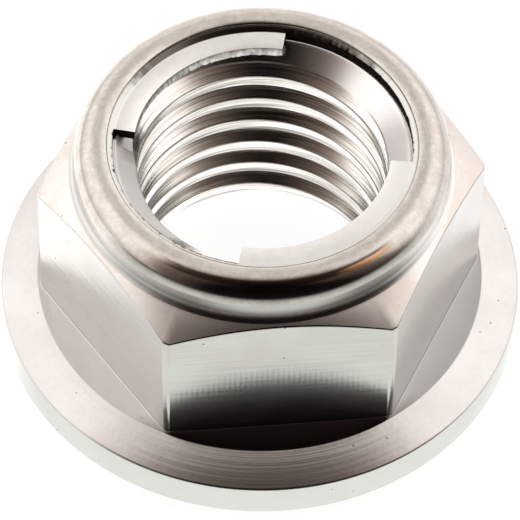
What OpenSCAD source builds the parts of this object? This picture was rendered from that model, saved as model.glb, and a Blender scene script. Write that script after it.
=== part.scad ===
// All-metal self-locking flange nut, M10 x 1.25, 14 mm across the flats.
// A turned and milled body holds a stamped friction ring under its rolled-over collar.
// The bearing face lies at z = 0, the thread's axis is Z, and one hexagon corner points along +X.

/* [Bore] */
// Diameter across the crests of the thread
bore_d = 8.9; // [8.5:0.1:9]
// Mouth diameter of the lead-in in the bearing face
lead_d = 10.8; // [10:0.1:12]
// Mouth diameter of the lead-in under the friction ring
seat_mouth_d = 10.4; // [10:0.1:10.5]
// Slope of both lead-ins, in degrees from level
lead_angle = 45; // [35:1:50]

/* [Flange] */
// Diameter of the flange
flange_d = 19; // [18:0.1:22]
// Height of the flange's upright rim
rim_h = 1.44; // [1:0.02:1.6]
// Height of the shelf that is milled round the foot of the hexagon
shelf_h = 1.91; // [1.8:0.01:2.4]
// Fall of the flange's conical top, in degrees from level
cone_angle = 19; // [15:1:25]
// Bevel round the rim's lower edge
rim_bevel = 0.12; // [0.05:0.01:0.3]

/* [Hexagon] */
// Width across the flats
flats_w = 14; // [13.8:0.1:14.2]
// Diameter turned across the corners, which takes their points off
corner_d = 16.03; // [15.6:0.01:16.1]
// Slope of the chamfer above the corners, in degrees from level
chamfer_angle = 30; // [20:1:35]

/* [Collar] */
// Overall height of the nut, to the crown of the collar
nut_h = 9.35; // [9:0.05:12]
// Diameter of the collar where it leaves the hexagon's chamfer
neck_d = 13.48; // [13.2:0.02:13.6]
// Height of the neck, where the chamfer meets the collar
neck_h = 7.85; // [7:0.05:8]
// Radius of the fillet round the neck
neck_fillet = 0.15; // [0.05:0.01:0.2]
// Outside radius of the rolled-over edge
roll_r = 0.85; // [0.7:0.05:0.9]
// Diameter of the circle that runs along the crown of the roll
crown_d = 11.7; // [11.5:0.02:11.9]
// Diameter inside the lip of the roll
lip_d = 11; // [10.8:0.1:11.1]
// Thickness of the collar over the friction ring, at the crown
lip_t = 0.15; // [0.12:0.01:0.3]
// Radius of the lip's upper edge
lip_edge_r = 0.08; // [0.02:0.01:0.1]

/* [Friction ring] */
// Thickness of the spring steel
ring_t = 0.4; // [0.3:0.05:0.5]
// Outside diameter of the ring, which the lip traps
ring_d = 11.6; // [11.3:0.1:11.8]
// Diameter inside the ring's rim, between the tabs
ring_hole_d = 10.7; // [10.6:0.1:10.8]
// Diameter inside the two locking tabs, which bite into the bolt's thread
tab_d = 9.12; // [9.02:0.02:9.4]
// Arc that each tab covers, in degrees
tab_arc = 91.5; // [60:0.5:120]
// Turn of the first tab's end from the +X corner, in degrees
tab_turn = 75.6; // [60:0.1:90]
// Depth by which each tab dips towards the thread at its inner edge
tab_dip = 0.14; // [0.05:0.01:0.2]
// Gap round the ring in its seat
ring_gap = 0.03; // [0.02:0.01:0.1]

/* [Hidden] */
tabs = 2;
// Overlap of the cutting tools past the faces that they cut
past = 1;
// Overlap of each tab's root with the rim that carries it
root = 0.1;

bore_r = bore_d / 2;
lead_r = lead_d / 2;
flange_r = flange_d / 2;
corner_r = corner_d / 2;
neck_r = neck_d / 2;
crown_r = crown_d / 2;
lip_r = lip_d / 2;
ring_r = ring_d / 2;
ring_hole_r = ring_hole_d / 2;
tab_r = tab_d / 2;
seat_mouth_r = seat_mouth_d / 2;

// The ring lies between its seat and the underside of the lip
ring_top_h = nut_h - lip_t;
seat_h = ring_top_h - ring_t;
roll_h = nut_h - roll_r;
shelf_r = flange_r - (shelf_h - rim_h) / tan(cone_angle);
corner_h = neck_h - (corner_r - neck_r) * tan(chamfer_angle);

// The lip's edge touches the roll from inside, and the bore of the lip
lip_edge_mid_r = lip_r + lip_edge_r;
lip_edge_h = roll_h + sqrt(pow(roll_r - lip_edge_r, 2) - pow(crown_r - lip_edge_mid_r, 2));
lip_edge_end_r = crown_r - (crown_r - lip_edge_mid_r) * roll_r / (roll_r - lip_edge_r);

// The collar's wall leans in from the neck until it meets the roll at a tangent
neck_reach = norm([neck_r - crown_r, neck_h - roll_h]);
lean = atan2(neck_h - roll_h, neck_r - crown_r) + acos(roll_r / neck_reach);
tangent_r = crown_r + roll_r * cos(lean);
tangent_h = roll_h + roll_r * sin(lean);

// The fillet touches the wall above the neck and the chamfer below it
wall_way = 90 + lean;
chamfer_way = -chamfer_angle;
half_corner = (wall_way - chamfer_way) / 2;
fillet_reach = neck_fillet / tan(half_corner);
fillet_way = (wall_way + chamfer_way) / 2;
fillet_centre = from_neck(fillet_way, neck_fillet / sin(half_corner));

$fn = 180;

// Point in the section at a distance from the neck, in a direction given in degrees
function from_neck(way, reach) = [neck_r + reach * cos(way), neck_h + reach * sin(way)];

// Section of the flange: upright rim, bevelled foot and conical top
module flange_section() {
    polygon([
        [0, 0],
        [flange_r - rim_bevel, 0],
        [flange_r, rim_bevel],
        [flange_r, rim_h],
        [shelf_r, shelf_h],
        [0, shelf_h]
    ]);
}

// Section of the turned blank of the hexagon: cylinder across the corners and chamfer
module blank_section() {
    polygon([
        [0, 0],
        [corner_r, 0],
        [corner_r, corner_h],
        [neck_r, neck_h],
        [0, neck_h]
    ]);
}

// Section of the collar: leaning wall, rolled edge that runs over the crown, fillet round the neck
module collar_section() {
    polygon([
        [0, 0],
        [neck_r, 0],
        [neck_r, neck_h],
        [tangent_r, tangent_h],
        [crown_r, roll_h],
        [crown_r, seat_h],
        [0, seat_h]
    ]);
    intersection() {
        translate([crown_r, roll_h]) circle(roll_r);
        translate([crown_r - roll_r, roll_h]) square([2 * roll_r, roll_r]);
    }
    difference() {
        polygon([
            from_neck(fillet_way + 180, neck_fillet),
            from_neck(chamfer_way, fillet_reach),
            fillet_centre,
            from_neck(wall_way, fillet_reach)
        ]);
        translate(fillet_centre) circle(neck_fillet);
    }
}

// Hexagon with its flats milled and its top corners chamfered
module hexagon() {
    intersection() {
        cylinder(h = neck_h, r = flats_w / 2 / cos(30), $fn = 6);
        rotate_extrude() blank_section();
    }
}

// Everything that is cut out along the axis: bore, both lead-ins, ring seat and the lip's edge
module bore_cuts() {
    lead_depth = (lead_r - bore_r) * tan(lead_angle);
    seat_depth = (seat_mouth_r - bore_r) * tan(lead_angle);
    translate([0, 0, -past]) cylinder(h = nut_h + 2 * past, r = bore_r);
    rotate_extrude() polygon([
        [0, -past],
        [lead_r, -past],
        [lead_r, 0],
        [bore_r, lead_depth],
        [0, lead_depth]
    ]);
    rotate_extrude() polygon([
        [0, seat_h - seat_depth],
        [bore_r, seat_h - seat_depth],
        [seat_mouth_r, seat_h],
        [ring_r + ring_gap, seat_h],
        [ring_r + ring_gap, ring_top_h],
        [lip_r, ring_top_h],
        [lip_r, lip_edge_h],
        [0, lip_edge_h]
    ]);
    rotate_extrude() difference() {
        translate([0, lip_edge_h]) square([lip_edge_end_r, past]);
        translate([lip_edge_mid_r, lip_edge_h]) circle(lip_edge_r);
    }
}

// Body, turned and milled from one bar, with its collar rolled over the ring
module nut_body() {
    color("silver") difference() {
        union() {
            rotate_extrude() flange_section();
            hexagon();
            rotate_extrude() collar_section();
        }
        bore_cuts();
    }
}

// One locking tab, bent down from the rim at the edge of the seat's mouth
module locking_tab() {
    rotate([0, 0, tab_turn]) rotate_extrude(angle = tab_arc) polygon([
        [tab_r, seat_h - tab_dip],
        [seat_mouth_r, seat_h],
        [ring_hole_r + root, seat_h],
        [ring_hole_r + root, ring_top_h],
        [seat_mouth_r, ring_top_h],
        [tab_r, ring_top_h - tab_dip]
    ]);
}

// Spring-steel ring, stamped in one piece with its two tabs
module friction_ring() {
    color("gainsboro") union() {
        translate([0, 0, seat_h]) difference() {
            cylinder(h = ring_t, r = ring_r);
            translate([0, 0, -past]) cylinder(h = ring_t + 2 * past, r = ring_hole_r);
        }
        for (i = [0 : tabs - 1]) rotate([0, 0, i * 360 / tabs]) locking_tab();
    }
}

nut_body();
friction_ring();
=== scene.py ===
import math
import bmesh
import bpy
from mathutils import Matrix, Vector, noise


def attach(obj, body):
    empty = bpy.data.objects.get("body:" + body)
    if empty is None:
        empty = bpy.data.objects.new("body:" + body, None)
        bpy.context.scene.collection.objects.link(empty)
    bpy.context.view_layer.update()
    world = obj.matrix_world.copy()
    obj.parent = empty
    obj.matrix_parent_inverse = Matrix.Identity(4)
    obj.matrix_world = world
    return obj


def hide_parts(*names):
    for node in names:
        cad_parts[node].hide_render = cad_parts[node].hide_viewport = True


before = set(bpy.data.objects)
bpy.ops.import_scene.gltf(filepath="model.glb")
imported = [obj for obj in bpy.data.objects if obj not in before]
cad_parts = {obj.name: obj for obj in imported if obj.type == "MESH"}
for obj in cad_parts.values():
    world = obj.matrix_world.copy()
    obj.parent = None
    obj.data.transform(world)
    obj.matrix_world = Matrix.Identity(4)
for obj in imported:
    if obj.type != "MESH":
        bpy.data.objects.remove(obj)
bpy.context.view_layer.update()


# The table top camera. It stands in front of the nut and looks down on it through a long
# lens. Places are in millimetres until they are scaled to the frame's metres.
mm = 0.001
camera_place = (-10.62, -94.07, 126.39)
camera_azimuth = -96.44
camera_tip = 37.37
camera_roll = 1.31

lens = bpy.data.cameras.new("long_lens")
lens.sensor_width = 36
lens.lens = 295.35
lens.clip_start = 0.01
camera = bpy.data.objects.new("camera", lens)
bpy.context.scene.collection.objects.link(camera)
camera.matrix_world = (
    Matrix.Translation(Vector(camera_place) * mm)
    @ Matrix.Rotation(math.radians(camera_azimuth + 90), 4, "Z")
    @ Matrix.Rotation(math.radians(camera_tip), 4, "X")
    @ Matrix.Rotation(math.radians(camera_roll), 4, "Z")
)
bpy.context.scene.camera = camera
bpy.context.scene.view_settings.view_transform = "Standard"


# The light tent round the nut. Two bright cloth walls stand left and right, greyer cloth
# hangs overhead and behind, and the side that the camera looks in from is open and dark.
class Field:
    """A value that varies from place to place. Arithmetic on it adds Math nodes."""

    def __init__(self, tree, socket=None):
        self.tree = tree
        self.socket = socket

    def node(self, kind, settings=None, sockets=None, outlet=0):
        """Adds a node: first its settings, then the values or links of its sockets."""
        made = self.tree.nodes.new(kind)
        for name, value in (settings or {}).items():
            if name == "stops":
                stops = made.color_ramp.elements
                stops.remove(stops[1])
                stops[0].color = (*value[0][1], 1)
                for place, colour in value[1:]:
                    stops.new(place).color = (*colour, 1)
            else:
                setattr(made, name, value)
        for name, value in (sockets or {}).items():
            if isinstance(value, Field):
                self.tree.links.new(value.socket, made.inputs[name])
            else:
                made.inputs[name].default_value = value
        return Field(self.tree, made.outputs[outlet] if len(made.outputs) else None)

    def maths(self, operation, *others):
        sockets = dict(enumerate((self, *others)))
        return self.node("ShaderNodeMath", {"operation": operation}, sockets)

    def __add__(self, other):
        return self.maths("ADD", other)

    def __sub__(self, other):
        return self.maths("SUBTRACT", other)

    def __rsub__(self, other):
        return self * -1 + other

    def __mul__(self, other):
        return self.maths("MULTIPLY", other)

    def __truediv__(self, other):
        return self.maths("DIVIDE", other)

    def __rtruediv__(self, other):
        return self.maths("POWER", -1) * other

    __radd__ = __add__
    __rmul__ = __mul__

    def rise(self, low, high):
        """Climbs smoothly from 0 at low to 1 at high."""
        sockets = {"Value": self, "From Min": low, "From Max": high}
        return self.node("ShaderNodeMapRange", {"interpolation_type": "SMOOTHSTEP"}, sockets)

    def along(self, direction):
        """How far this vector reaches in a direction."""
        sockets = {0: self, 1: direction}
        return self.node("ShaderNodeVectorMath", {"operation": "DOT_PRODUCT"}, sockets, "Value")

    def vector(self, operation, other=None, outlet="Vector"):
        sockets = {0: self} if other is None else {0: self, 1: other}
        return self.node("ShaderNodeVectorMath", {"operation": operation}, sockets, outlet)

    def mix(self, first, second):
        """The first colour where this share is 0 and the second where it is 1."""
        colours = [c if isinstance(c, Field) else (*c, 1) for c in (first, second)]
        sockets = {0: self, 6: colours[0], 7: colours[1]}
        return self.node("ShaderNodeMix", {"data_type": "RGBA"}, sockets, 2)

    def filtered(self, colour):
        """This colour multiplied by another one."""
        settings = {"data_type": "RGBA", "blend_type": "MULTIPLY"}
        return self.node("ShaderNodeMix", settings, {0: 1.0, 6: self, 7: colour}, 2)

    def ramp(self, *stops):
        return self.node("ShaderNodeValToRGB", {"stops": stops}, {"Fac": self})


def level_way(degrees):
    """The level direction at an azimuth."""
    azimuth = math.radians(degrees)
    return (math.cos(azimuth), math.sin(azimuth), 0)


open_side = camera_azimuth + 6
open_way = level_way(open_side)
right_way = level_way(open_side + 90)

world = bpy.data.worlds.new("tent")
world.use_nodes = True
world.node_tree.nodes.clear()
tent = Field(world.node_tree)
look = tent.node("ShaderNodeTexCoord", outlet="Generated")
height = look.along((0, 0, 1))
to_open = look.along(open_way)
to_right = look.along(right_way)
to_wall = to_right.maths("ABSOLUTE")
ceiling = height.rise(0.35, 0.75).mix((1.35, 1.3, 1.26), (1.07, 1.03, 1.0))
walls = height.rise(-0.1, 0.5).mix((0.95, 0.91, 0.9), (1.68, 1.62, 1.58))
cloth = to_wall.rise(0.1, 0.5).mix(ceiling, walls)

# The dark opening narrows towards its top, and its edges lean a little to one side
spread = ((1.02 - height) * 3.5).maths("MINIMUM", 0.5)
slant = ((0.9 - height) * 1.3).maths("MINIMUM", 0.08) - (0.75 - height).maths("MAXIMUM", 0) * 0.3
edge = to_wall * spread + to_right * slant
open_depth = to_open - edge + 0.07
shade_start = -0.3
shade_length = 0.9
shade = ((open_depth - shade_start) / shade_length).ramp(
    (0.0, (1, 1, 1)),
    (0.09, (0.97, 0.97, 0.97)),
    (0.28, (0.66, 0.63, 0.605)),
    (0.41, (0.22, 0.19, 0.17)),
    (0.55, (0.11, 0.087, 0.075)),
    (0.69, (0.07, 0.054, 0.046)),
    (0.84, (0.035, 0.025, 0.021)),
    (0.92, (0.006, 0.004, 0.0035)),
    (1.0, (0.003, 0.0025, 0.0025))
)
tent_light = tent.node("ShaderNodeBackground", None, {"Color": shade.filtered(cloth)})
backdrop = tent.node("ShaderNodeBackground", None, {"Color": (1, 1, 1, 1)})
camera_ray = tent.node("ShaderNodeLightPath", None, None, "Is Camera Ray")
surround = tent.node("ShaderNodeMixShader", None, {0: camera_ray, 1: tent_light, 2: backdrop})
tent.node("ShaderNodeOutputWorld", None, {"Surface": surround})
bpy.context.scene.world = world


# The white sheet that the nut stands on. To glossy rays it glows with painted light, brighter on
# the left than on the right, and it fades to dark with distance towards the open side. To the
# camera it shows white with a soft shadow.
sheet_half = 600
sheet_mesh = bmesh.new()
bmesh.ops.create_grid(sheet_mesh, x_segments=1, y_segments=1, size=sheet_half * mm)
sheet_data = bpy.data.meshes.new("white_sheet")
sheet_mesh.to_mesh(sheet_data)
sheet_mesh.free()
sheet = bpy.data.objects.new("white_sheet", sheet_data)
bpy.context.scene.collection.objects.link(sheet)

paper = bpy.data.materials.new("white_paper")
paper.use_nodes = True
paper.node_tree.nodes.clear()
spot = Field(paper.node_tree).node("ShaderNodeTexCoord", outlet="Object")
distance = spot.vector("LENGTH", None, "Value")
front = (spot.along(open_way) / (distance + 1e-6)).rise(-0.1, 0.45)
side = (spot.along(right_way) / (distance + 1e-6)).rise(-1, 1)
fade_length = 40 * mm
far = distance / fade_length
front_sheet = (1 / (far * far + 1)).mix((0, 0, 0), (1.22, 1.25, 1.19))
# Painted light that the metal mirrors: brighter on the left, fading to dark far out on the open
# side
painted_sheet_light = front.mix(side.mix((1.78, 1.73, 1.69), (1.34, 1.31, 1.31)), front_sheet)
glow = spot.node("ShaderNodeEmission", None, {"Color": painted_sheet_light})
matt = spot.node("ShaderNodeBsdfDiffuse", None, {"Color": (0.15, 0.15, 0.15, 1)})
white = spot.node("ShaderNodeEmission", None, {"Color": (0.93, 0.93, 0.93, 1)})
shown = spot.node("ShaderNodeAddShader", None, {0: matt, 1: white})
glossy_ray = spot.node("ShaderNodeLightPath", outlet="Is Glossy Ray")
both = spot.node("ShaderNodeMixShader", None, {0: glossy_ray, 1: shown, 2: glow})
spot.node("ShaderNodeOutputMaterial", None, {"Surface": both})
sheet_data.materials.append(paper)


# The nut's body. It is turned and tapped from one steel bar, its hexagon and the shelf
# round its foot are milled, and its collar is rolled over the friction ring by a tool.
stations = 360
flange_r = 9.5
rim_h = 1.44
rim_bevel = 0.12
rim_edge = 0.08
shelf_r = 8.135
shelf_h = 1.91
shelf_edge = 0.03
flat_half = 7.0
flat_fillet = 0.04
flat_edge = 0.05
corner_r = 8.015
chamfer_slope = math.tan(math.radians(30))
neck_r = 6.7
neck_h = 7.873
neck_fillet = 0.24
flat_top_h = neck_h - (flat_half - neck_r) * chamfer_slope
roll_r = 0.85
roll_mid = (5.85, 8.5)
lip_r = 5.5
lip_edge_r = 0.08
ring_seat_r = 5.83
ring_top_h = 9.2
seat_h = 8.8
mouth_r = 5.2
mouth_edge = 0.03
lead_r = 5.4
bore_r = 4.45


class Section:
    """A wire outline in the X-Z plane, drawn by a pen: straight lines and arcs."""

    def __init__(self, r, z):
        self.mesh = bmesh.new()
        self.pen = self.mesh.verts.new((r * mm, 0, z * mm))
        self.roundings = []

    def line(self, r, z, rounding=0, steps=3):
        """Goes straight to a point, which may be rounded off by a length along both lines."""
        before = self.pen
        self.pen = self.mesh.verts.new((r * mm, 0, z * mm))
        self.mesh.edges.new((before, self.pen))
        if rounding:
            self.roundings.append((self.pen, rounding, steps))

    def arc(self, mid_r, mid_z, degrees, steps):
        """Goes round a middle point, anticlockwise for a positive turn."""
        swept = bmesh.ops.spin(
            self.mesh, geom=[self.pen], cent=(mid_r * mm, 0, mid_z * mm), axis=(0, -1, 0),
            angle=math.radians(degrees), steps=steps
        )
        self.pen = swept["geom_last"][0]

    def round_corners(self):
        for corner, length, steps in self.roundings:
            bmesh.ops.bevel(
                self.mesh, geom=[corner], affect="VERTICES", offset=length * mm,
                offset_type="OFFSET", segments=steps, profile=0.5, material=-1
            )


# The wall of the collar leans until it touches the roll, and the lip's edge touches it too
reach = math.hypot(neck_r - roll_mid[0], neck_h - roll_mid[1])
neck_way = math.atan2(neck_h - roll_mid[1], neck_r - roll_mid[0])
lean = math.degrees(neck_way + math.acos(roll_r / reach))
edge_mid_r = lip_r + lip_edge_r
edge_mid_z = roll_mid[1] + math.sqrt((roll_r - lip_edge_r) ** 2 - (roll_mid[0] - edge_mid_r) ** 2)
edge_way = math.degrees(math.atan2(edge_mid_z - roll_mid[1], edge_mid_r - roll_mid[0]))

outside = Section(lead_r, 0)
outside.line(flange_r - rim_bevel, 0)
outside.line(flange_r, rim_bevel)
outside.line(flange_r, rim_h, rim_edge, 4)
outside.line(shelf_r, shelf_h, shelf_edge, 2)
outside.line(flat_half, shelf_h, flat_fillet, 3)
outside.line(flat_half, flat_top_h, flat_edge)
outside.line(neck_r, neck_h, neck_fillet, 8)
outside.line(
    roll_mid[0] + roll_r * math.cos(math.radians(lean)),
    roll_mid[1] + roll_r * math.sin(math.radians(lean))
)
outside.arc(*roll_mid, edge_way - lean, 36)
outside.arc(edge_mid_r, edge_mid_z, 180 - edge_way, 6)
outside.line(lip_r, ring_top_h)
outside.line(ring_seat_r, ring_top_h)
outside.line(ring_seat_r, seat_h)
outside.line(mouth_r, seat_h, mouth_edge, 2)
cone_start = 0.1
outside.line(mouth_r - cone_start, seat_h - cone_start)
outside.round_corners()
nut = outside.mesh
bmesh.ops.spin(
    nut, geom=nut.verts[:] + nut.edges[:], cent=(0, 0, 0), axis=(0, 0, 1),
    angle=2 * math.pi, steps=stations, use_merge=True
)


def turned(point, degrees):
    """A point's place after a turn about the axis."""
    return Matrix.Rotation(math.radians(degrees), 3, "Z") @ point


# Columns of points beside each corner move up to the narrow facet that the turned blank
# leaves there, and then the foot and the top of each flat move out to the hexagon
facet_half = math.degrees(math.acos(flat_half / corner_r)) - 30
facet_edge = 0.25
near_corner = {1: -facet_half, 2: -facet_half + facet_edge}
beside_flat = 0.08
for point in nut.verts:
    azimuth = math.degrees(math.atan2(point.co.y, point.co.x))
    corner = round(azimuth / 60) * 60
    step = round(azimuth - corner)
    if abs(step) in near_corner:
        point.co = turned(point.co, math.copysign(near_corner[abs(step)], step) - step)
for point in nut.verts:
    r = math.hypot(point.co.x, point.co.y) / mm
    z = point.co.z / mm
    azimuth = math.degrees(math.atan2(point.co.y, point.co.x))
    from_middle = (azimuth % 60) - 30
    out = min(flat_half / math.cos(math.radians(from_middle)), corner_r) - flat_half
    at_foot = shelf_h - 0.01 < z < shelf_h + 0.1 and r < flat_half + beside_flat
    at_top = abs(z - flat_top_h) < 0.06 and r > flat_half - beside_flat
    if at_foot or at_top:
        grown = (r + out) / r
        point.co.x *= grown
        point.co.y *= grown
    if at_top:
        point.co.z -= out * chamfer_slope * mm

# The thread is one long outline of ridges, swept once round while it climbs by its pitch
pitch = 1.25
root_r = 5.0
crest_half = 0.25
root_half = 0.0575
thread_edge = 0.04
back_azimuth = 83.56
crest_at_back_z = 7.32
crest_z = crest_at_back_z - pitch * back_azimuth / 360
turns_below = 7
thread = Section(root_r, crest_z - (turns_below + 0.5) * pitch - root_half)
for turn in range(-turns_below, 3):
    middle = crest_z + turn * pitch
    thread.line(root_r, middle - 0.5 * pitch + root_half, thread_edge, 2)
    thread.line(bore_r, middle - crest_half, thread_edge, 3)
    thread.line(bore_r, middle + crest_half, thread_edge, 3)
    thread.line(root_r, middle + 0.5 * pitch - root_half, thread_edge, 2)
thread.round_corners()
ridges = thread.mesh
bmesh.ops.spin(
    ridges, geom=ridges.verts[:] + ridges.edges[:], cent=(0, 0, 0), axis=(0, 0, 1),
    dvec=(0, 0, pitch * mm / stations), angle=2 * math.pi, steps=stations
)
bmesh.ops.remove_doubles(ridges, verts=ridges.verts, dist=0.001 * mm)

# The last turn of the groove runs out before it reaches the countersink
run_out = (8.16, 8.28)
for point in ridges.verts:
    r = math.hypot(point.co.x, point.co.y) / mm
    z = point.co.z / mm
    turns = (z - crest_z) / pitch - math.atan2(point.co.y, point.co.x) / (2 * math.pi)
    groove_z = z - (turns % 1 - 0.5) * pitch
    filled = min(max((groove_z - run_out[0]) / (run_out[1] - run_out[0]), 0), 1)
    point.co.xy *= (r - (r - bore_r) * filled) / r


def shear(points, slope):
    """Raises points by their distance from the bore times a slope."""
    for point in points:
        point.co.z += (math.hypot(point.co.x, point.co.y) - bore_r * mm) * slope


def cut_to_cone(mesh, level, slope, upper):
    """Cuts a mesh off at a countersink: the cone is sheared flat, cut, and sheared back."""
    shear(mesh.verts, -slope)
    bmesh.ops.bisect_plane(
        mesh, geom=mesh.verts[:] + mesh.edges[:] + mesh.faces[:], plane_co=(0, 0, level * mm),
        plane_no=(0, 0, 1 if upper else -1), clear_outer=True, dist=1e-8
    )
    shear(mesh.verts, slope)


cut_to_cone(ridges, seat_h - (mouth_r - bore_r), 1, True)
cut_to_cone(ridges, lead_r - bore_r, -1, False)

# Both meshes become one. Each countersink is sheared flat, filled from the thread's cut end
# to the edge of the outside, and sheared back
ridge_data = bpy.data.meshes.new("ridges")
ridges.to_mesh(ridge_data)
ridges.free()
nut.from_mesh(ridge_data)
bpy.data.meshes.remove(ridge_data)
for low, high, slope in ((-1, 4, -1), (4, 9, 1)):
    rims = [e for e in nut.edges if e.is_boundary and low * mm < e.verts[0].co.z < high * mm]
    points = {point for edge in rims for point in edge.verts}
    shear(points, -slope)
    bmesh.ops.triangle_fill(nut, edges=rims, use_beauty=True, normal=(0, 0, slope))
    shear(points, slope)
bmesh.ops.recalc_face_normals(nut, faces=nut.faces)

crease = math.radians(35)
for edge in nut.edges:
    edge.smooth = edge.calc_face_angle(0) < crease
for face in nut.faces:
    face.smooth = True


def new_metal(name):
    """An empty material, and the place on the piece in millimetres."""
    material = bpy.data.materials.new(name)
    material.use_nodes = True
    material.node_tree.nodes.clear()
    place = Field(material.node_tree).node("ShaderNodeTexCoord", outlet="Object")
    return material, place.vector("MULTIPLY", (1 / mm, 1 / mm, 1 / mm))


def close_metal(colour, roughness, relief, depth, tilt=None):
    """Ends a metal: its colour and gloss, and relief whose depth is in millimetres."""
    around = {"Height": relief, "Distance": depth * mm}
    if tilt:
        around["Normal"] = tilt
    bump = colour.node("ShaderNodeBump", None, around)
    metal = colour.node("ShaderNodeBsdfPrincipled", None, {
        "Base Color": colour, "Metallic": 1.0, "Roughness": roughness, "Normal": bump
    })
    colour.node("ShaderNodeOutputMaterial", None, {"Surface": metal})


def speckle(place, grains, detail=2):
    """Even noise between 0 and 1 at a number of grains in each millimetre."""
    sockets = {"Vector": place, "Scale": grains, "Detail": detail}
    return place.node("ShaderNodeTexNoise", None, sockets)


def pitted(place, colour):
    """The colour with a few tiny dark pits in it."""
    sockets = {"Vector": place, "Scale": 1.3}
    nearest = place.node("ShaderNodeTexVoronoi", None, sockets)
    return nearest.rise(0.035, 0.06).mix((0.2, 0.18, 0.17), colour)


def lathe_marks(place, lines, turns=1.0):
    """Noise in fine lines round the axis, as a turning tool leaves it."""
    level = place.vector("MULTIPLY", (1, 1, 0))
    way = level.vector("NORMALIZE")
    across = level.vector("LENGTH", outlet="Value") + place.along((0, 0, 0.7))
    spread = place.node("ShaderNodeCombineXYZ", None, {
        "X": way.along((turns, 0, 0)), "Y": way.along((0, turns, 0)), "Z": across * lines
    })
    return speckle(spread, 1)


def turned_steel(name, colours, roughness, depth):
    """Turned faces: fine lines round the axis over soft patches, with a few pits."""
    material, place = new_metal(name)
    marks = lathe_marks(place, 11) + lathe_marks(place, 26) * 0.3
    patches = speckle(place, 0.5)
    grains = speckle(place, 6, 3)
    colour = (patches * 0.7 + grains * 0.3).rise(0.36, 0.62).mix(*colours)
    close_metal(pitted(place, colour), patches * 0.08 + roughness, marks + grains * 0.25, depth)
    return material


def milled_steel():
    """The flats: each cutter tick and sweep leans the mirror image up or down a little."""
    material, place = new_metal("milled_steel")
    x = place.along((1, 0, 0))
    y = place.along((0, 1, 0))
    flat = (y.maths("ARCTAN2", x) * (3 / math.pi)).maths("FLOOR")
    facing = (flat + 0.5) * (math.pi / 3)
    sideways = y * facing.maths("COSINE") - x * facing.maths("SINE")
    height = place.along((0, 0, 1))
    tick_pitch = 0.19
    ticks = (sideways * (2 * math.pi / tick_pitch)).maths("SINE") * speckle(place, 1.5)
    sweeps = place.node("ShaderNodeCombineXYZ", None, {
        "X": sideways * 0.12, "Y": flat * 5, "Z": height * 5
    })
    lean = ticks * 0.009 + (speckle(sweeps, 1, 3) - 0.5) * 0.05
    upright = place.node("ShaderNodeCombineXYZ", None, {"X": 0.0, "Y": 0.0, "Z": lean})
    normal = place.node("ShaderNodeNewGeometry", outlet="Normal")
    tilt = normal.vector("ADD", upright).vector("NORMALIZE")
    patches = speckle(place, 0.6)
    streaks = speckle(sweeps, 1.7, 3)
    tint = (patches * 0.5 + streaks * 0.5).rise(0.35, 0.65)
    colour = tint.mix((0.595, 0.59, 0.57), (0.56, 0.545, 0.525))
    close_metal(pitted(place, colour), patches * 0.06 + 0.18, speckle(place, 5), 0.0006, tilt)
    return material


def shelf_steel():
    """The shelf at the foot of the flats: a smooth cut, with painted shade towards the right and
    darker painted shade on the near side.
    """
    material, place = new_metal("shelf_steel")
    patches = speckle(place, 0.6)
    base_tone = patches.rise(0.35, 0.65).mix((0.53, 0.51, 0.5), (0.51, 0.49, 0.48))
    # Painted shade: the shelf is darker towards the right
    right = place.along((1, 0, 0)).rise(1.5, 5).mix((1, 1, 1), (0.72, 0.72, 0.73)).filtered(base_tone)
    # Painted shade on the near side: the front of the shelf is darkened nearly to black
    painted_darkening = place.along((0, 1, 0)).rise(-6, -7.2) * (speckle(place, 3) * 0.2 + 0.85)
    colour = painted_darkening.mix(right, (0.2, 0.19, 0.18))
    close_metal(pitted(place, colour), patches * 0.04 + 0.06, speckle(place, 5), 0.0004)
    return material


def rolled_steel():
    """The collar: a mottled, rolled edge with a painted dark reflection and a painted glint, over a
    smoother wall with painted light towards its sides and painted shade at its foot on the near
    side.
    """
    material, place = new_metal("rolled_steel")
    slope = place.node("ShaderNodeNewGeometry", outlet="Normal").along((0, 0, 1))
    upward = slope.rise(0.35, 0.65)
    strokes = lathe_marks(place, 6, 11)
    grains = speckle(place, 7, 3)
    patches = speckle(place, 0.9)
    mottles = (strokes * 0.45 + grains * 0.35 + patches * 0.2).rise(0.36, 0.62)
    pressed = mottles.mix((0.57, 0.54, 0.505), (0.485, 0.445, 0.41))
    way = place.vector("MULTIPLY", (1, 1, 0)).vector("NORMALIZE")
    near_side = way.along(level_way(-90))
    glint_way = way.along(level_way(-61))
    # Painted dark reflection: a dark brown band high on the near side of the roll
    dark = near_side.rise(0.74, 0.84) * slope.rise(0.78, 0.84) * slope.rise(0.955, 0.915)
    # Painted glint: an orange streak high on the roll, to the right of the near side
    painted_glint = glint_way.rise(0.98, 0.998) * slope.rise(0.78, 0.82) * slope.rise(0.905, 0.875)
    edge = painted_glint.mix(dark.mix(pressed, (0.13, 0.09, 0.075)), (0.62, 0.37, 0.2))
    x = place.along((1, 0, 0))
    height = place.along((0, 0, 1))
    # Painted light: the wall is lighter at the far left and much lighter on the right
    left = x.rise(-4.5, -6.5).mix((0.5, 0.495, 0.48), (0.57, 0.56, 0.545))
    wall = x.rise(3.5, 5.3).mix(left, (0.8, 0.79, 0.77))
    # Painted shade at the foot of the wall on the near side
    neck_painted_shade = near_side.rise(0.72, 0.92) * height.rise(8.4, 7.95) * (grains * 0.3 + 0.85)
    above = height.rise(8.45, 8.7)
    colour = above.mix(neck_painted_shade.mix(wall, (0.14, 0.12, 0.11)), edge)
    gloss = strokes * 0.08 + above.rise(1, 0) * 0.18 + 0.1
    close_metal(colour, gloss, (strokes + grains * 0.4) * upward, 0.003)
    return material


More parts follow.
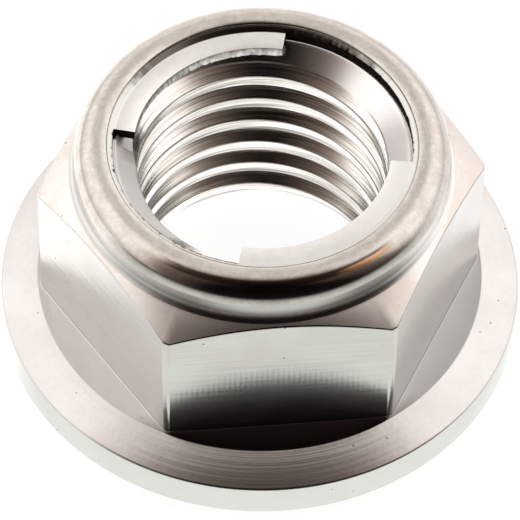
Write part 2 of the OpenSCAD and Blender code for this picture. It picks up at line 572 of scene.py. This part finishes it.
def countersunk_steel():
    """The countersinks: bright at the foot where the cut turns over, duller on the near side, with
    a painted highlight that makes the near half lighter.
    """
    material, place = new_metal("countersunk_steel")
    level = place.vector("MULTIPLY", (1, 1, 0))
    foot = level.vector("LENGTH", outlet="Value").rise(bore_r + 0.06, bore_r + 0.03)
    depth = place.along((0, 1, 0))
    front = depth.rise(-2.8, -3.8)
    inward = level.vector("NORMALIZE").vector("MULTIPLY", foot * -3 - front * 0.35)
    normal = place.node("ShaderNodeNewGeometry", outlet="Normal")
    tilt = normal.vector("ADD", inward).vector("NORMALIZE")
    patches = speckle(place, 0.5)
    base_tone = patches.rise(0.36, 0.62).mix((0.73, 0.71, 0.705), (0.7, 0.67, 0.66))
    # Painted highlight: the colour is lighter on the near side
    colour = depth.rise(1.5, -1.5).mix(base_tone, (0.95, 0.93, 0.92))
    matt = depth.rise(1.8, 0.2) * 0.8 - front * 0.65
    gloss = patches * 0.08 + 0.22 - front * 0.14
    bump = colour.node("ShaderNodeBump", None, {
        "Height": lathe_marks(place, 11), "Distance": 0.001 * mm, "Normal": tilt
    })
    metal = colour.node("ShaderNodeBsdfPrincipled", None, {
        "Base Color": colour, "Metallic": 1 - matt, "Roughness": gloss, "Normal": bump
    })
    colour.node("ShaderNodeOutputMaterial", None, {"Surface": metal})
    return material


def tapped_steel():
    """The thread: scored lines along its ridges, and a worn line low on each crest."""
    material, place = new_metal("tapped_steel")
    azimuth = place.along((0, 1, 0)).maths("ARCTAN2", place.along((1, 0, 0)))
    turns = (place.along((0, 0, 1)) - crest_z) / pitch - azimuth / (2 * math.pi)
    groove = (turns + 0.5).maths("FRACT")
    worn = groove.rise(0.3, 0.34) * groove.rise(0.46, 0.42)
    lines = lathe_marks(place, 8, 1.5)
    blotches = speckle(place, 1.0, 3)
    tint = (blotches * 0.4 + speckle(place, 6) * 0.2 + lines * 0.4).rise(0.38, 0.62)
    base_tone = tint.mix((0.82, 0.81, 0.79), (0.75, 0.715, 0.67))
    scored = lathe_marks(place, 15, 0.8)
    marked = scored.rise(0.52, 0.38).mix(base_tone, (0.5, 0.475, 0.45))
    colour = (worn * lines.rise(0.3, 0.6)).mix((1, 1, 1), (0.5, 0.5, 0.49)).filtered(marked)
    close_metal(colour, blotches * 0.1 + 0.14, lines + scored, 0.004)
    return material


finishes = {
    "cone": turned_steel("turned_cone", ((0.59, 0.57, 0.555), (0.555, 0.53, 0.515)), 0.18, 0.006),
    "chamfer": turned_steel("turned_chamfer", ((0.74, 0.71, 0.69), (0.67, 0.61, 0.56)), 0.3, 0.002),
    "rim": turned_steel("turned_rim", ((0.655, 0.65, 0.64), (0.63, 0.625, 0.61)), 0.12, 0.0008),
    "countersink": countersunk_steel(),
    "milled": milled_steel(),
    "shelf": shelf_steel(),
    "rolled": rolled_steel(),
    "tapped": tapped_steel()
}
names = list(finishes)


def finish_of(face):
    """Which finish a face of the body has, by its place and its slope."""
    middle = face.calc_center_median() / mm
    r = math.hypot(middle.x, middle.y)
    level = abs(face.normal.z)
    if r < root_r + 0.01 and lead_r - r < middle.z < seat_h - mouth_r + r - 0.01:
        return "tapped"
    if r > neck_r - 0.05 and middle.z > neck_h - 0.9 and 0.8 < level < 0.95:
        return "chamfer"
    if shelf_h - 0.005 < middle.z < neck_h and flat_half - 0.1 < r < shelf_r:
        return "milled" if level < 0.5 else "shelf"
    if middle.z > neck_h - 0.1 and r > lip_r - 0.05:
        return "rolled"
    if middle.z < rim_h and r > flange_r - 0.01:
        return "rim"
    return "cone" if r > flat_half else "countersink"


for face in nut.faces:
    face.material_index = names.index(finish_of(face))

body_data = bpy.data.meshes.new("turned_body")
nut.to_mesh(body_data)
nut.free()
body = bpy.data.objects.new("turned_body", body_data)
bpy.context.scene.collection.objects.link(body)
for finish in finishes.values():
    body_data.materials.append(finish)
body.modifiers.new("flat_faces_stay_flat", "WEIGHTED_NORMAL").keep_sharp = True
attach(body, "root")
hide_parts("nut_body")


# The friction ring. It is stamped from spring steel sheet in one piece with its two locking
# tabs, which are bent down a little, and the rolled lip holds it on its seat.
ring_t = 0.4
ring_r = 5.8
ring_hole_r = 5.32
dish_r = 5.48
dish_edge = 0.03
bend_r = 5.28
bend_edge = 0.035
tab_r = 4.56
tab_dip = 0.14
dish_slope = math.tan(math.radians(27))
seat_tilt = 0.25
sheared_r = 0.02
tab_start = 75.6
tab_steps = 183
ring_steps = 720

strip = Section(ring_r, ring_top_h)
strip.line(dish_r, ring_top_h, dish_edge, 2)
strip.line(ring_hole_r, ring_top_h - (dish_r - ring_hole_r) * dish_slope)
strip.line(bend_r, ring_top_h - (dish_r - bend_r) * dish_slope, bend_edge, 4)
strip.line(tab_r, ring_top_h - tab_dip)
strip.round_corners()
ring = strip.mesh
bmesh.ops.rotate(ring, verts=ring.verts, cent=(0, 0, 0),
                 matrix=Matrix.Rotation(math.radians(tab_start), 3, "Z"))
bmesh.ops.spin(
    ring, geom=ring.verts[:] + ring.edges[:], cent=(0, 0, 0), axis=(0, 0, 1),
    angle=2 * math.pi, steps=ring_steps, use_merge=True
)


def past_tab(place):
    """Whether a place lies in one of the gaps between the tabs."""
    azimuth = math.degrees(math.atan2(place.y, place.x))
    return (azimuth - tab_start) % 180 > tab_steps * 360 / ring_steps


between_tabs = []
for face in ring.faces:
    middle = face.calc_center_median() / mm
    if math.hypot(middle.x, middle.y) < ring_hole_r and past_tab(middle):
        between_tabs.append(face)
bmesh.ops.delete(ring, geom=between_tabs, context="FACES")
for point in ring.verts:
    point.co.z += (point.co.z - ring_top_h * mm) * seat_tilt * point.co.y / (ring_hole_r * mm)
extruded = bmesh.ops.extrude_face_region(ring, geom=ring.faces[:], use_keep_orig=True)
for part in extruded["geom"]:
    if isinstance(part, bmesh.types.BMVert):
        part.co.z -= ring_t * mm
bmesh.ops.recalc_face_normals(ring, faces=ring.faces)
sharp = [e for e in ring.edges if e.calc_face_angle(0) > math.radians(50)]
bmesh.ops.bevel(
    ring, geom=sharp, affect="EDGES", offset=sheared_r * mm, offset_type="OFFSET", segments=2,
    profile=0.5, material=-1, clamp_overlap=True
)

# The punch leaves the hole's upper edge and the foot of each tab's edge ragged
for point in ring.verts:
    r = math.hypot(point.co.x, point.co.y) / mm
    z = point.co.z / mm
    ragged = noise.noise(Vector(point.co) / mm * 6) + 0.6 * noise.noise(Vector(point.co) / mm * 13)
    on_hole = ring_hole_r - 0.01 < r < ring_hole_r + 0.03 and z > ring_top_h - 0.15
    on_tab_foot = r < tab_r + 0.03 and z < ring_top_h - ring_t - tab_dip + 0.03
    if on_hole and past_tab(point.co):
        point.co.xy *= 1 + max(0.0, ragged) * 0.05 / r
    if on_tab_foot:
        point.co.z += max(0.0, ragged + 0.2) * 0.06 * mm
for edge in ring.edges:
    edge.smooth = edge.calc_face_angle(0) < crease
for face in ring.faces:
    face.smooth = True


def spring_steel():
    """The sheet's face: fine grain, with painted light that makes it brighter on the right, and
    painted shade in the dish at the back.
    """
    material, place = new_metal("spring_steel")
    grain = speckle(place, 2.5, 4)
    r = place.vector("MULTIPLY", (1, 1, 0)).vector("LENGTH", outlet="Value")
    grey = grain.rise(0.3, 0.7).mix((0.7, 0.685, 0.66), (0.66, 0.64, 0.62))
    # Painted light: the face is brighter towards the right
    base_tone = place.along((1, 0, 0)).rise(2, 4.5).mix(grey, (0.79, 0.775, 0.745))
    # Painted shade in the dish at the back, darkening it nearly to black
    back = (place.along((0, 1, 0)) + grain * 2).rise(3.5, 5)
    painted_darkening = back.mix((0.54, 0.53, 0.51), (0.12, 0.105, 0.095))
    colour = r.rise(bend_r - 0.02, bend_r + 0.02).mix(base_tone, painted_darkening)
    close_metal(colour, grain * 0.08 + 0.08, grain, 0.003)
    return material


def sheared_edge():
    """The tabs' inner edges: rough where the sheet tore, with painted shade in a dark line under
    the burr.
    """
    material, place = new_metal("sheared_edge")
    grain = speckle(place.vector("MULTIPLY", (1, 1, 0.5)), 7, 4)
    height = place.along((0, 0, 1)) - (ring_top_h - tab_dip)
    # Painted shade: a dark line along the crease under the burr
    burr = (height.maths("ABSOLUTE") + (grain - 0.5) * 0.05).rise(0.0, 0.035)
    bare = grain.rise(0.35, 0.65).mix((0.66, 0.66, 0.64), (0.4, 0.39, 0.37))
    colour = burr.mix((0.1, 0.09, 0.08), bare)
    close_metal(colour, grain * 0.2 + 0.25, grain, 0.02)
    return material


def broken_edge():
    """The ends of the tabs and the hole's edge: torn metal, with painted shade that colours it
    nearly black.
    """
    material, place = new_metal("broken_edge")
    grain = speckle(place, 9, 4)
    # Painted shade: the torn metal is coloured nearly black
    colour = grain.rise(0.4, 0.7).mix((0.008, 0.006, 0.006), (0.03, 0.023, 0.019))
    bump = grain.node("ShaderNodeBump", None, {"Height": grain, "Distance": 0.03 * mm})
    torn = grain.node("ShaderNodeBsdfPrincipled", None, {
        "Base Color": colour, "Roughness": 0.9, "Specular IOR Level": 0.1, "Normal": bump
    })
    grain.node("ShaderNodeOutputMaterial", None, {"Surface": torn})
    return material


for face in ring.faces:
    middle = face.calc_center_median() / mm
    r = math.hypot(middle.x, middle.y)
    inward = abs(face.normal.dot(middle)) > 0.45 * r
    if inward and abs(face.normal.z) < 0.9 and r < tab_r + 0.04:
        face.material_index = 1
    elif -0.95 < face.normal.z < 0.6 and r < ring_r - 0.05:
        face.material_index = 2
ring_data = bpy.data.meshes.new("sprung_ring")
ring.to_mesh(ring_data)
ring.free()
ring_piece = bpy.data.objects.new("sprung_ring", ring_data)
bpy.context.scene.collection.objects.link(ring_piece)
for finish in (spring_steel(), sheared_edge(), broken_edge()):
    ring_data.materials.append(finish)
ring_piece.modifiers.new("flat_faces_stay_flat", "WEIGHTED_NORMAL").keep_sharp = True
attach(ring_piece, "root")
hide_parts("friction_ring")
